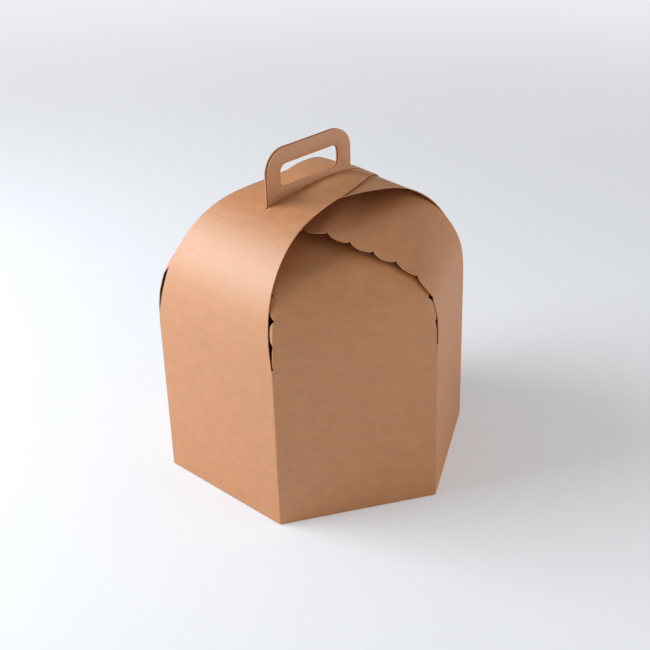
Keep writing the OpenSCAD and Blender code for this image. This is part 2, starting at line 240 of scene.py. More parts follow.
class Folds:
    """The curves of the folded box, worked out once from its sizes."""
    # Least width of a petal's lip past its bend, and its lip on the free side
    LEAST_LIP, FREE_LIP = 3 * MM, 1.5 * MM
    # Least cosine by which the air between two layers is divided on a slope
    LEAST_COS = 0.2
    # A scallop is this share of a half circle's width, and grows by this power
    ROUNDNESS, SCALLOP_ONSET = 0.93, 1.5
    # Outline of a band's tongue and the share of its length that is kept
    TONGUE_POWER, BLUNT_TIP = 1.6, 0.97
    # How fine the grids are
    FLAT_CELLS, BEND_CELLS, BAND_CELLS, STEPS_PER_SCALLOP = 14, 7, 9, 14
    BAND_ROW = 2.2 * MM
    # How far a face's first column stays from the corner
    CORNER_BACK = 0.9 * MM
    # The bow of the bands: its reach along X, where it starts in Y and its slope there
    BOW_START, BOW_END, BOW_POWER = -18 * MM, 114 * MM, 1.25
    BOW_NEAR, BOW_SPAN = 45 * MM, 62 * MM
    # Lengths above the fold over which petals spring out, sink away and bend
    SPRING_RUN = 80 * MM
    SINK_START, SINK_END = 36 * MM, 84 * MM
    TUCK_START, TUCK_END = 20 * MM, 85 * MM
    # Share of the extra width that an inner petal's first scallop takes, and its onset
    FIRST_REACH, REACH_ONSET = 0.45, 6 * MM
    CORNER_PASSES = 5

    def __init__(self, sizes):
        z = self.sizes = sizes
        self.apothem = z.side * math.sqrt(3) / 2
        self.layer = z.board + z.layer_gap
        crown_start = UPRIGHT - z.crown_turn
        crown_r = (self.apothem - z.lower_r * (1 - math.cos(z.lower_turn))
                   - z.shoulder_r * (math.cos(z.lower_turn) - math.cos(crown_start))
                   ) / math.cos(crown_start)
        self.band = [(r * bend, bend) for r, bend in (
            (z.lower_r, z.lower_turn), (z.shoulder_r, crown_start - z.lower_turn),
            (crown_r, z.crown_turn))]
        self.to_ridge = sum(run for run, _ in self.band)
        self.band_rise = along_profile(self.band, self.to_ridge)[1]
        end = self.band_at(self.to_ridge + z.tongue)
        self.inner_scale = 1 - self.layer / math.sin(end[2]) / end[1]
        slope = UPRIGHT - z.petal_rise
        shoulder_in = (z.petal_lower_r * (1 - math.cos(z.petal_lower_turn))
                       + z.petal_shoulder_r * (math.cos(z.petal_lower_turn) - math.cos(slope)))
        level_in = z.level_half + z.level_r * math.cos(slope)
        roof = (self.apothem - level_in - shoulder_in) / math.sin(slope)
        self.petal = [
            (z.petal_lower_r * z.petal_lower_turn, z.petal_lower_turn),
            (z.petal_shoulder_r * (slope - z.petal_lower_turn), slope - z.petal_lower_turn),
            (roof, 0), (z.level_r * z.petal_rise, z.petal_rise), (z.side, 0)]
        self.to_level = sum(run for run, _ in self.petal[:4])
        self.to_centre = self.to_level + z.level_half
        self.crown = z.wall + along_profile(self.petal, self.to_centre)[1]
        self.outer_end = self.to_centre + (z.handle_w / 2 + z.handle_left) * COS60
        self.inner_end = (self.to_level - z.level_r * z.petal_rise
                          - (z.inner_end - level_in) / math.sin(slope))
        self.slit_half = z.board + z.half_gap / 2 + z.slit_air
        far = self.apothem - z.handle_left + z.handle_w / 2
        sweep = math.hypot(far - z.handle_r, z.top - z.handle_r - z.wall) + z.handle_r
        self.slit = (self.to_ridge - z.handle_w / 2 - z.handle_left - z.slit_end,
                     self.reach_length(sweep + z.board + z.layer_gap))
        self.tip = self.to_ridge + z.tongue * self.BLUNT_TIP

    # bands

    def band_at(self, s):
        """A band's curve; past the ridge it is the mirror image of the way up."""
        if s <= self.to_ridge:
            return along_profile(self.band, s)
        inwards, up, angle = along_profile(self.band, 2 * self.to_ridge - s)
        return 2 * self.apothem - inwards, up, math.pi - angle

    def reach_length(self, radius):
        """Arc length past the ridge at which the swinging band clears the handle."""
        return halve(self.to_ridge, self.to_ridge + self.sizes.tongue,
                     lambda s: math.hypot(*self.band_at(s)[:2]) < radius)

    def band_half(self, s):
        """Half the width of a band."""
        foot = self.sizes.side / 2 - self.sizes.board / 2
        crossing = self.sizes.ridge_w / 2
        past = (s - self.to_ridge) / self.sizes.tongue
        if past <= 0:
            half = foot + (crossing - foot) * s / self.to_ridge
            return min(half, self.sizes.side / 2 - self.CORNER_BACK)
        slope = (foot - crossing) / self.to_ridge * self.sizes.tongue / crossing
        return crossing * (1 - slope * past - (1 - slope) * past ** self.TONGUE_POWER)

    def band_rows(self):
        cuts = (0.0, *self.slit, self.tip)
        rows = []
        for low, high in zip(cuts, cuts[1:]):
            rows += spread(low, high, math.ceil((high - low) / self.BAND_ROW))
        return rows + [self.tip]

    def band_columns(self, s):
        half, n = self.band_half(max(s, 0.0)), self.BAND_CELLS
        side = spread(self.slit_half, half, n) + [half]
        return [-t for t in reversed(side)] + side

    def band_point(self, wall, squeeze, s, t):
        inwards, up, _ = self.band_at(s)
        x, y = on_wall(wall, self.apothem - inwards, t)
        return x, y, self.sizes.wall + squeeze * up + self.bow(x, y)

    def bow(self, x, y):
        """The bands bow up a little behind the handle, on the inner band's side."""
        along = clamp((x - self.BOW_START) / (self.BOW_END - self.BOW_START))
        across = clamp((y + self.BOW_NEAR) / self.BOW_SPAN)
        return self.sizes.bulge * math.sin(math.pi * along) ** self.BOW_POWER * across

    # petals

    def scallop(self, s):
        """The line of full scallops: 0 in a notch, 1 at a crest."""
        turns = s / self.sizes.pitch + NOTCH_EPS
        low = math.sqrt(1 - self.ROUNDNESS ** 2)
        across = (2 * (turns - math.floor(turns)) - 1) * self.ROUNDNESS
        return (math.sqrt(1 - across * across) - low) / (1 - low)

    def crest(self, s):
        """Half the width of a petal at the crests of its scallops."""
        left = max(0.0, 1 - s / self.to_centre)
        return self.sizes.side / 2 - self.sizes.relief - self.sizes.taper * (1 - left * left)

    def scallop_edge(self, s):
        """Half the width of a petal along its scalloped edge."""
        grown = min(1.0, s / self.sizes.grow) ** self.SCALLOP_ONSET
        return self.crest(s) - self.sizes.depth * grown * (1 - self.scallop(s))

    def inside_of(self, point):
        """Distance from the box's axis at which board lies one layer inside a curve's point."""
        return self.apothem - point[0] - self.layer / max(math.cos(point[2]), self.LEAST_COS)

    def cover_apothem(self, over, z):
        """The same distance under what covers a petal's edge."""
        if over == "band":
            return self.inside_of(at_height(self.band, z / self.inner_scale, self.to_ridge))
        if over == "petal":
            return self.inside_of(at_height(self.petal, z, self.to_level))
        return 2 * self.apothem

    def climb(self, s, t):
        """How far an outer petal's roof climbs from its free edge towards the band."""
        f = (s - self.petal[0][0]) / (self.to_level - self.petal[0][0])
        half = self.crest(s)
        if f <= 0 or f >= 1:
            return 0.0
        return self.sizes.edge_lift * math.sin(math.pi * f) ** 2 * max(0.0, t + half) / (2 * half)

    def corner_at(self, over, climbs, s, z, own, bend_r):
        """Where a petal's level section meets its cover, and how far it has climbed there."""
        risen = 0.0
        for _ in range(self.CORNER_PASSES):
            corner = (self.cover_apothem(over, z + risen) - own / 2) / SIN60
            if not climbs:
                return corner, 0.0
            risen = self.climb(s, corner - bend_r * TAN30)
        return corner, risen

    @staticmethod
    def tuck(q, corner, r):
        """Along the petal's own wall and inwards: straight, a bend and a run beside the cover."""
        start = corner - r * TAN30
        rest = q - start - r * math.pi / 3
        if q <= start:
            return q, 0.0
        if rest <= 0:
            angle = (q - start) / r
            return start + r * math.sin(angle), r * (1 - math.cos(angle))
        return start + r * SIN60 + rest * COS60, r * (1 - COS60) + rest * SIN60

    def spring_at(self, s):
        """An outer petal springs out a little above its fold."""
        return self.sizes.spring * math.sin(math.pi * clamp(s / self.SPRING_RUN)) ** 2

    def sink_at(self, s):
        """An inner petal sinks away where its neighbour lies over it."""
        return self.sizes.sink * soft(s, self.SINK_START, self.SINK_END)

    def extra_width(self, s):
        """The first scallops of an inner petal reach right into the corner."""
        turns = s / self.sizes.pitch
        first = self.FIRST_REACH * soft(s, 0.0, self.REACH_ONSET) * (1 - soft(turns, 1.0, 1.6))
        later = soft(turns, 1.0, 1.2) - 0.5 * soft(turns, 2.0, 2.1) - 0.5 * soft(turns, 2.9, 3.0)
        return self.sizes.reach * (first + self.scallop(s) * later)

    def handle_line(self, s):
        """Cut edge of an outer petal along the handle."""
        out = self.apothem - along_profile(self.petal, s)[0]
        return (out * SIN60 - (self.sizes.half_gap + self.sizes.board) / 2) / COS60

    def petal_rows(self, end):
        step = self.sizes.pitch / self.STEPS_PER_SCALLOP
        return [k * step for k in range(math.ceil(end / step - 0.3))] + [end]

    def bend_columns(self, start, edge):
        low = min(start, edge - self.LEAST_LIP)
        return spread(low, edge, self.BEND_CELLS) + [edge]

    def petal_row(self, wall, outer, s):
        """One row across a petal: for each column its place on the blank and its point."""
        z = self.sizes
        inwards, up, _ = along_profile(self.petal, s)
        own = self.apothem - inwards + (self.spring_at(s) if outer else 0.0)
        tight = min(1.0, s / z.grow) if outer else soft(s, self.TUCK_START, self.TUCK_END)
        covers = ("none", "band") if outer else ("band", "petal")
        bends = (0.0, z.edge_tuck_r * tight) if outer else (z.tuck_r * tight,) * 2
        meets = [self.corner_at(covers[e], outer and e == 1, s, up, own, bends[e])
                 for e in (0, 1)]
        if not outer:
            meets[1] = (meets[1][0] + (self.spring_at(s) - self.sink_at(s)) / SIN60, 0.0)
        starts = [meets[e][0] - bends[e] * TAN30 for e in (0, 1)]
        edge = self.scallop_edge(s) + (0.0 if outer else self.extra_width(s))
        high = min(edge, self.handle_line(s)) if outer else edge
        right = self.bend_columns(starts[1], high)
        if outer:
            left = [-edge, -(self.crest(s) - z.depth - self.FREE_LIP)]
        else:
            left = [-t for t in reversed(self.bend_columns(starts[0], edge))]
        columns = left + spread(left[-1], right[0], self.FLAT_CELLS)[1:] + right
        row = []
        for t in columns:
            e, side = (0, -1) if t < 0 else (1, 1)
            shift, back = self.tuck(abs(t), meets[e][0], bends[e])
            risen = min(self.climb(s, t), meets[1][1]) if outer else 0.0
            x, y = on_wall(wall, own - back, side * shift)
            row.append(((t, s), (x, y, z.wall + up + risen)))
        return row


def on_wall(wall, out, along):
    """The point at a distance out from the box's axis and along the wall, seen from above."""
    a = math.radians(wall)
    return out * math.cos(a) - along * math.sin(a), out * math.sin(a) + along * math.cos(a)


# ---- modelling helpers

def deselect():
    if bpy.context.object and bpy.context.object.mode != "OBJECT":
        bpy.ops.object.mode_set(mode="OBJECT")
    bpy.ops.object.select_all(action="DESELECT")


def select(*pieces):
    deselect()
    for piece in pieces:
        piece.select_set(True)
    bpy.context.view_layer.objects.active = pieces[0]


def named(name):
    """The piece that was just added, under its own name."""
    piece = bpy.context.object
    piece.name = piece.data.name = name
    return piece


def lay_grid(name, rows):
    """Adds a flat grid and lays its corners on rows of (place on the blank, point, fold)."""
    deselect()
    across, along = len(rows[0]) - 1, len(rows) - 1
    bpy.ops.mesh.primitive_grid_add(x_subdivisions=across, y_subdivisions=along, size=2)
    piece = named(name)
    mesh = piece.data
    mesh.uv_layers[0].name = "blank"
    places = []
    for vertex in mesh.vertices:
        column = round((vertex.co.x + 1) / 2 * across)
        row = round((vertex.co.y + 1) / 2 * along)
        places.append(rows[row][column])
    crease = mesh.attributes.new("fold", "FLOAT", "POINT")
    for vertex, (_, point, fold) in zip(mesh.vertices, places):
        vertex.co = point
        crease.data[vertex.index].value = fold
    uv = mesh.uv_layers["blank"]
    for loop in mesh.loops:
        uv.data[loop.index].uv = places[loop.vertex_index][0]
    return piece


def edit(piece, kind="VERT", test=None):
    """Opens a piece for editing with all of it selected, or the edges or faces that pass a test."""
    select(piece)
    bpy.ops.object.mode_set(mode="EDIT")
    bpy.ops.mesh.select_mode(type=kind)
    bpy.ops.mesh.select_all(action="DESELECT" if test else "SELECT")
    if test:
        shape = bmesh.from_edit_mesh(piece.data)
        for item in shape.faces if kind == "FACE" else shape.edges:
            item.select_set(test(item))
        bmesh.update_edit_mesh(piece.data)


def close_edit():
    bpy.ops.object.mode_set(mode="OBJECT")


def join(pieces, name):
    """Joins pieces that meet along folds into one sheet."""
    select(*pieces)
    if len(pieces) > 1:
        bpy.ops.object.join()
    piece = named(name)
    edit(piece)
    bpy.ops.mesh.remove_doubles(threshold=0.01 * MM)
    close_edit()
    return piece


def add_modifier(piece, kind, **settings):
    """Adds a modifier with these settings and applies it."""
    select(piece)
    made = piece.modifiers.new(kind.title(), kind)
    for key, value in settings.items():
        setattr(made, key, value)
    bpy.ops.object.modifier_apply(modifier=made.name)


def give_finishes(piece):
    for name in ("kraft", "cut_edge"):
        piece.data.materials.append(material(name))


def give_board(piece, thickness):
    """Gives a sheet the thickness of the board, inwards, with the cut edge as its own finish."""
    give_finishes(piece)
    add_modifier(piece, "SOLIDIFY", thickness=thickness, offset=-1.0, use_even_offset=True,
                 use_quality_normals=True, use_rim=True, material_offset_rim=1)
    smooth(piece)


def smooth(piece, degrees=38):
    select(piece)
    bpy.ops.object.shade_smooth_by_angle(angle=math.radians(degrees))


def map_flat(piece, first, second):
    """A flat piece takes two of its own axes as its place on the blank."""
    mesh = piece.data
    if "blank" not in mesh.uv_layers:
        mesh.uv_layers.new(name="blank")
    uv = mesh.uv_layers["blank"]
    for loop in mesh.loops:
        co = mesh.vertices[loop.vertex_index].co
        uv.data[loop.index].uv = (co[first], co[second])
    if "fold" not in mesh.attributes:
        mesh.attributes.new("fold", "FLOAT", "POINT")


def set_down(piece):
    """Puts the place of a piece into its mesh."""
    select(piece)
    bpy.ops.object.transform_apply(location=True, rotation=True, scale=True)


def bevel_edges(piece, test, **bevel):
    """Bevels the edges that pass the test, each given as its two corners."""
    edit(piece, "EDGE", lambda edge: test(edge.verts[0].co, edge.verts[1].co))
    bpy.ops.mesh.bevel(offset_type="OFFSET", affect="EDGES", clamp_overlap=False, **bevel)
    close_edit()


def paint_edges(piece, across):
    """Gives the sides of a board the cut edge's finish. The board's thickness lies along across."""
    give_finishes(piece)
    across = Vector(across)
    for face in piece.data.polygons:
        face.material_index = 1 if abs(face.normal.dot(across)) < 0.5 else 0


def thicken(piece, board):
    """Extrudes a flat piece upwards by the thickness of the board."""
    edit(piece)
    bpy.ops.mesh.extrude_region_move(TRANSFORM_OT_translate={"value": (0, 0, board)})
    bpy.ops.mesh.select_all(action="SELECT")
    bpy.ops.mesh.normals_make_consistent(inside=False)
    close_edit()
    paint_edges(piece, (0, 0, 1))


def belongs(piece, *nodes):
    """A piece of the carton rides on it; the given parts of the imported model are hidden."""
    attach(piece, CARTON)
    if nodes:
        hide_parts(*nodes)


# ---- board finish

def add(tree, kind, at, **values):
    """Adds a node. A value goes to the input or the property of that name."""
    node = tree.nodes.new(kind)
    node.location = at
    for key, value in values.items():
        if hasattr(node, key) and key not in node.inputs:
            setattr(node, key, value)
        else:
            node.inputs[key.replace("_", " ")].default_value = value
    return node


def feed(tree, socket, source):
    """Gives an input a constant or the output of another node."""
    if isinstance(source, bpy.types.NodeSocket):
        tree.links.new(source, socket)
    else:
        socket.default_value = source


def calc(tree, at, operation, first, second):
    """Arithmetic on two values, each a constant or a socket."""
    node = add(tree, "ShaderNodeMath", at, operation=operation)
    feed(tree, node.inputs[0], first)
    feed(tree, node.inputs[1], second)
    return node.outputs["Value"]


def span(tree, at, source, low, high, to_low=0.0, to_high=1.0, kind="SMOOTHSTEP"):
    """Maps a value from one range to another."""
    node = add(tree, "ShaderNodeMapRange", at, interpolation_type=kind)
    values = (source, low, high, to_low, to_high)
    for key, value in zip(("Value", "From Min", "From Max", "To Min", "To Max"), values):
        feed(tree, node.inputs[key], value)
    return node.outputs["Result"]


def mix_colour(tree, at, mask, first, second):
    """Mixes two colours by a mask. The first is a constant or a socket."""
    node = add(tree, "ShaderNodeMix", at, data_type="RGBA")
    feed(tree, node.inputs["Factor"], mask)
    feed(tree, node.inputs[6], first)
    feed(tree, node.inputs[7], second)
    return node.outputs[2]


def mix_shaders(tree, at, part, first, second, surface):
    """Blends two shader nodes into a surface."""
    mix = add(tree, "ShaderNodeMixShader", at)
    for n, source in enumerate((part, first.outputs[0], second.outputs[0])):
        feed(tree, mix.inputs[n], source)
    feed(tree, surface, mix.outputs[0])


def opaque(colour):
    return (*colour, 1.0)


def fibre_group():
    """Node group: the fibres, flecks and cloudiness of kraft board, from a place on the blank."""
    if "kraft_fibre" in bpy.data.node_groups:
        return bpy.data.node_groups["kraft_fibre"]
    tree = bpy.data.node_groups.new("kraft_fibre", "ShaderNodeTree")
    face = tree.interface
    face.new_socket("Place", in_out="INPUT", socket_type="NodeSocketVector")
    face.new_socket("Fold", in_out="INPUT", socket_type="NodeSocketFloat")
    scales = (("Fibre Scale", 1500.0), ("Cloud Scale", 95.0), ("Fleck Scale", 620.0))
    for name, default in scales:
        socket = face.new_socket(name, in_out="INPUT", socket_type="NodeSocketFloat")
        socket.default_value = default
    for name in ("Shade", "Fleck", "Pale", "Worn Fold", "Height"):
        face.new_socket(name, in_out="OUTPUT", socket_type="NodeSocketFloat")
    given = add(tree, "NodeGroupInput", (-1200, 0))
    made = add(tree, "NodeGroupOutput", (900, 0))
    link = tree.links.new

    def noise(y, scale, detail, rough, stretch, shift=(0.0, 0.0)):
        placed = add(tree, "ShaderNodeMapping", (-920, y), Scale=(*stretch, 1.0),
                     Location=(*shift, 0.0))
        link(given.outputs["Place"], placed.inputs["Vector"])
        pattern = add(tree, "ShaderNodeTexNoise", (-700, y), Detail=detail, Roughness=rough)
        link(placed.outputs["Vector"], pattern.inputs["Vector"])
        link(given.outputs[scale], pattern.inputs["Scale"])
        return pattern.outputs["Fac"]

    def sums(at, first, first_part, second, second_part):
        x, y = at
        return calc(tree, at, "ADD", calc(tree, (x - 140, y + 50), "MULTIPLY", first, first_part),
                    calc(tree, (x - 140, y - 100), "MULTIPLY", second, second_part))

    # fibres lie along the machine direction of the board, which is across the walls
    fibre = noise(300, "Fibre Scale", 4.0, 0.65, (0.32, 1.0))
    cross = noise(60, "Fibre Scale", 2.0, 0.5, (0.8, 0.42), (0.31, 0.17))
    cloud = noise(-180, "Cloud Scale", 3.0, 0.6, (0.7, 1.0))
    flecks = noise(-420, "Fleck Scale", 2.0, 0.5, (0.45, 1.0), (0.11, 0.43))
    pales = noise(-660, "Fleck Scale", 2.0, 0.5, (0.4, 1.1), (0.71, 0.23))
    weave = sums((-420, 200), fibre, 0.6, cross, 0.4)
    tone = sums((-200, 120), span(tree, (-420, 340), weave, 0.30, 0.70), 0.55,
                span(tree, (-420, -100), cloud, 0.30, 0.70), 0.45)
    worn = span(tree, (-200, -840), weave, 0.25, 0.60, 0.35, 1.0)
    results = {
        "Shade": tone,
        "Fleck": span(tree, (-300, -420), flecks, 0.60, 0.74),
        "Pale": span(tree, (-300, -660), pales, 0.61, 0.76),
        "Worn Fold": calc(tree, (0, -800), "MULTIPLY", given.outputs["Fold"], worn),
        "Height": calc(tree, (100, 300), "ADD", weave,
                       calc(tree, (0, 200), "MULTIPLY", cloud, 0.8)),
    }
    for name, source in results.items():
        link(source, made.inputs[name])
    return tree


FOLD_WEAR = 0.6
GLOSS_BELOW, GLOSS_ABOVE = 0.06, 0.08
RELIEF_DEPTH = 0.12 * MM
KRAFT_SHEEN, EDGE_ROUGH = 0.03, 0.75


def board_material(name, light, dark, look, rough, sheen):
    """Kraft board with its fibres, flecks, worn folds and a soft calendered sheen."""
    made = bpy.data.materials.new(name)
    made.use_nodes = True
    tree = made.node_tree
    tree.nodes.clear()
    place = add(tree, "ShaderNodeUVMap", (-1100, 200), uv_map="blank")
    fold = add(tree, "ShaderNodeAttribute", (-1100, 0), attribute_name="fold")
    fibre = add(tree, "ShaderNodeGroup", (-880, 100), node_tree=fibre_group())
    link = tree.links.new
    link(place.outputs["UV"], fibre.inputs["Place"])
    link(fold.outputs["Fac"], fibre.inputs["Fold"])
    shade_mask = fibre.outputs["Shade"]
    base = mix_colour(tree, (-560, 300), shade_mask, opaque(dark), opaque(light))
    layers = (("Fleck", look.fleck_share, look.fleck), ("Pale", look.fleck_share, look.pale),
              ("Worn Fold", FOLD_WEAR, look.fold))
    for n, (mask, strength, colour) in enumerate(layers):
        x = 200 * n - 560
        part = calc(tree, (x, 100 - 40 * n), "MULTIPLY", fibre.outputs[mask], strength)
        base = mix_colour(tree, (x + 200, 300), part, base, opaque(colour))
    gloss = span(tree, (40, 0), shade_mask, 0.0, 1.0, rough - GLOSS_BELOW, rough + GLOSS_ABOVE,
                 kind="LINEAR")
    bump = add(tree, "ShaderNodeBump", (40, -260), Strength=look.bump, Distance=RELIEF_DEPTH)
    link(fibre.outputs["Height"], bump.inputs["Height"])
    shader = add(tree, "ShaderNodeBsdfPrincipled", (320, 200), Sheen_Weight=sheen,
                 Sheen_Roughness=0.45, Specular_IOR_Level=1.0)
    link(base, shader.inputs["Base Color"])
    link(gloss, shader.inputs["Roughness"])
    link(bump.outputs["Normal"], shader.inputs["Normal"])
    out = add(tree, "ShaderNodeOutputMaterial", (620, 200))
    link(shader.outputs["BSDF"], out.inputs["Surface"])
    return made


def material(name):
    """The finishes of the box, made when they are first asked for."""
    if name in bpy.data.materials:
        return bpy.data.materials[name]
    look = bpy.context.scene.gable_board
    if name == "kraft":
        return board_material(name, look.light, look.dark, look, look.rough, KRAFT_SHEEN)
    if name == "cut_edge":
        # The cut edge finish carries painted shade in its darker colour, as well as the edge's own
        # tone.
        return board_material(name, look.edge, look.fold, look, EDGE_ROUGH, 0.0)
    raise ValueError(f"no finish is named {name}")


# ---- the pieces

FOLD_R = 1.0 * MM
CORNER_CELLS = 5
# Rows of a wall as shares of its height, and how worn the board is where it turns in at the foot
WALL_ROWS = (0.02, 0.08, 0.2, 0.35, 0.5, 0.65, 0.8, 0.92, 0.98, 1.0)
FOOT_WEAR = 0.7
# The glued corner: where the outer wall ends, and the fold of the lap behind it
SEAM_BACK, SEAM_AIR, SEAM_FOOT, SEAM_WEAR = 0.45 * MM, 0.05 * MM, 0.4, 0.3
SEAM_FOLD_R, SEAM_FOLD_RUN, SEAM_TAIL = 0.5 * MM, 1.0 * MM, 1.5 * MM
# How far inside the walls the base panel and the flanges lie
PANEL_AIR, PANEL_RIM, FLANGE_AIR, GLUE_AIR = 0.15 * MM, 1.2 * MM, 0.1 * MM, 0.05 * MM
LAP_CHAMFER, LAP_THIN = 7 * MM, 0.9
# Lean of the two handle halves, and how far above the bands it begins
FRONT_LEAN, BACK_LEAN, LEAN_START = 0.006, 0.022, 1.5 * MM
RIM_BEVEL = 0.09 * MM


def wall_rows(wall):
    """Heights of a wall's rows with how far each is turned in: the foot is a rounded fold."""
    foot = [(FOLD_R * (1 - math.cos(a)), FOLD_R * (1 - math.sin(a)))
            for a in (0.0, UPRIGHT / 3, 2 * UPRIGHT / 3, UPRIGHT)]
    return foot + [(wall * part, 0.0) for part in WALL_ROWS]


def wall_strip(name, folds, columns):
    """A strip of wall. A column is (place across the blank, point, normal, how much it is folded,
    the share of the foot's turn that it takes)."""
    wall = folds.sizes.wall
    rows = []
    for z, turned in wall_rows(wall):
        least = FOOT_WEAR if turned else 0.0
        rows.append([((u, z - wall), (x - turned * part * n[0], y - turned * part * n[1], z),
                      max(fold, least)) for u, (x, y), n, fold, part in columns])
    return lay_grid(name, rows)


def normal_of(wall):
    return on_wall(wall, 1.0, 0.0)


def face_start(folds, wall):
    """Where the middle of a face lies on the flat blank."""
    return wall / 60 * folds.sizes.side


def flat_columns(folds, wall, places):
    """Wall columns that lie flat on a face."""
    start, normal = face_start(folds, wall), normal_of(wall)
    return [(start + t, on_wall(wall, folds.apothem, t), normal, 0.0, 1.0) for t in places]


def arc_columns(wall, middle, r, first, last, part):
    """Wall columns round a corner, between two places on the blank."""
    columns = []
    for k in range(CORNER_CELLS + 1):
        f = k / CORNER_CELLS
        n = normal_of(wall + 60 * f)
        point = (middle[0] + r * n[0], middle[1] + r * n[1])
        columns.append((first + (last - first) * f, point, n, 1.0, part))
    return columns


def top_columns(folds, wall):
    """Columns of a face at its top fold."""
    if wall in (LOCKING_WALL, INNER_BAND_WALL):
        return folds.band_columns(0.0)
    return [place[0] for place, _ in folds.petal_row(wall, wall in OUTER_PETAL_WALLS, 0.0)]


def corner_strip(folds, wall):
    """The rounded corner fold between a wall and the next one."""
    half, following = folds.sizes.side / 2, wall + 60
    tangent = half - (folds.CORNER_BACK - 0.1 * MM)
    r = (half - tangent) / TAN30
    first, last = top_columns(folds, wall)[-1], top_columns(folds, following % 360)[0]
    middle = on_wall(wall + 30, (folds.apothem - r) / COS30, 0.0)
    columns = flat_columns(folds, wall, [first])
    columns += arc_columns(wall, middle, r, face_start(folds, wall) + tangent,
                           face_start(folds, following) - tangent, 1.0)
    columns += flat_columns(folds, following, [last])
    return [wall_strip(f"corner_{wall}", folds, columns)]


def seam_strips(folds, wall):
    """The glued corner: a cut edge on this wall, and the next wall's lap folded in behind it."""
    sizes, following = folds.sizes, wall + 60
    half = sizes.side / 2
    first, last = top_columns(folds, wall)[-1], top_columns(folds, following)[0]
    corner = face_start(folds, following) - half
    cut = wall_strip("seam_cut", folds, flat_columns(folds, wall, [first, half - SEAM_BACK]))
    own = folds.apothem - SEAM_FOLD_R
    other = own - sizes.board - SEAM_AIR
    along = (own - other * COS60) / SIN60
    tail = on_wall(wall, other + SEAM_FOLD_R, along - SEAM_TAIL)
    columns = [(corner - SEAM_FOLD_RUN - SEAM_TAIL, tail, normal_of(wall), SEAM_WEAR, SEAM_FOOT)]
    columns += arc_columns(wall, on_wall(wall, other, along), SEAM_FOLD_R,
                           corner - SEAM_FOLD_RUN, corner, SEAM_FOOT)
    columns += flat_columns(folds, following, [last])
    return [cut, wall_strip("seam_fold", folds, columns)]


def petal_sheet(folds, wall):
    """A petal with its scalloped edges, up to where it ends below the bands or at the handle."""
    outer = wall in OUTER_PETAL_WALLS
    start = face_start(folds, wall)
    end = folds.outer_end if outer else folds.inner_end
    rows = [[((start + t, s), point, 0.0) for (t, s), point in folds.petal_row(wall, outer, row_s)]
            for row_s in folds.petal_rows(end)]
    return lay_grid(f"petal_{wall}", rows)


def band_sheet(folds, wall, squeeze, name):
    """A band with the slit that lets the handle through."""
    start = face_start(folds, wall)
    rows = [[((start + t, s), folds.band_point(wall, squeeze, s, t), 0.0)
             for t in folds.band_columns(s)] for s in folds.band_rows()]
    sheet = lay_grid(name, rows)
    low, high = (folds.apothem - folds.band_at(s)[0] for s in folds.slit)
    a = math.radians(wall)

    def in_slit(face):
        middle = face.calc_center_median()
        out = middle.x * math.cos(a) + middle.y * math.sin(a)
        return abs(middle.y) < 0.5 * folds.slit_half and high < out < low

    edit(sheet, "FACE", in_slit)
    bpy.ops.mesh.delete(type="FACE")
    close_edit()
    return sheet


class FoldCartonShell(bpy.types.Operator):
    """Folds the six walls, the four scalloped petals and the inner band from one sheet"""
    bl_idname = "mesh.gable_carton_shell"
    bl_label = "Carton Shell"

    def execute(self, context):
        folds = Folds(context.scene.gable_sizes)
        sheets = []
        for wall in WALLS:
            columns = flat_columns(folds, wall, top_columns(folds, wall))
            sheets.append(wall_strip(f"wall_{wall}", folds, columns))
            sheets += seam_strips(folds, wall) if wall == SEAM_WALL else corner_strip(folds, wall)
        sheets += [petal_sheet(folds, wall) for wall in INNER_PETAL_WALLS + OUTER_PETAL_WALLS]
        sheets.append(band_sheet(folds, INNER_BAND_WALL, folds.inner_scale, "inner_band"))
        shell = join(sheets, "carton_shell")
        give_board(shell, folds.sizes.board)
        belongs(shell, CARTON)
        return {"FINISHED"}


class FoldLockingBand(bpy.types.Operator):
    """Folds the locking band, which lies on top and opens first"""
    bl_idname = "mesh.gable_locking_band"
    bl_label = "Locking Band"

    def execute(self, context):
        folds = Folds(context.scene.gable_sizes)
        name = "locking_band_skin"
        band = join([band_sheet(folds, LOCKING_WALL, 1.0, name)], name)
        give_board(band, folds.sizes.board)
        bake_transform(band)
        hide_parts(LOCKING_BAND)
        return {"FINISHED"}


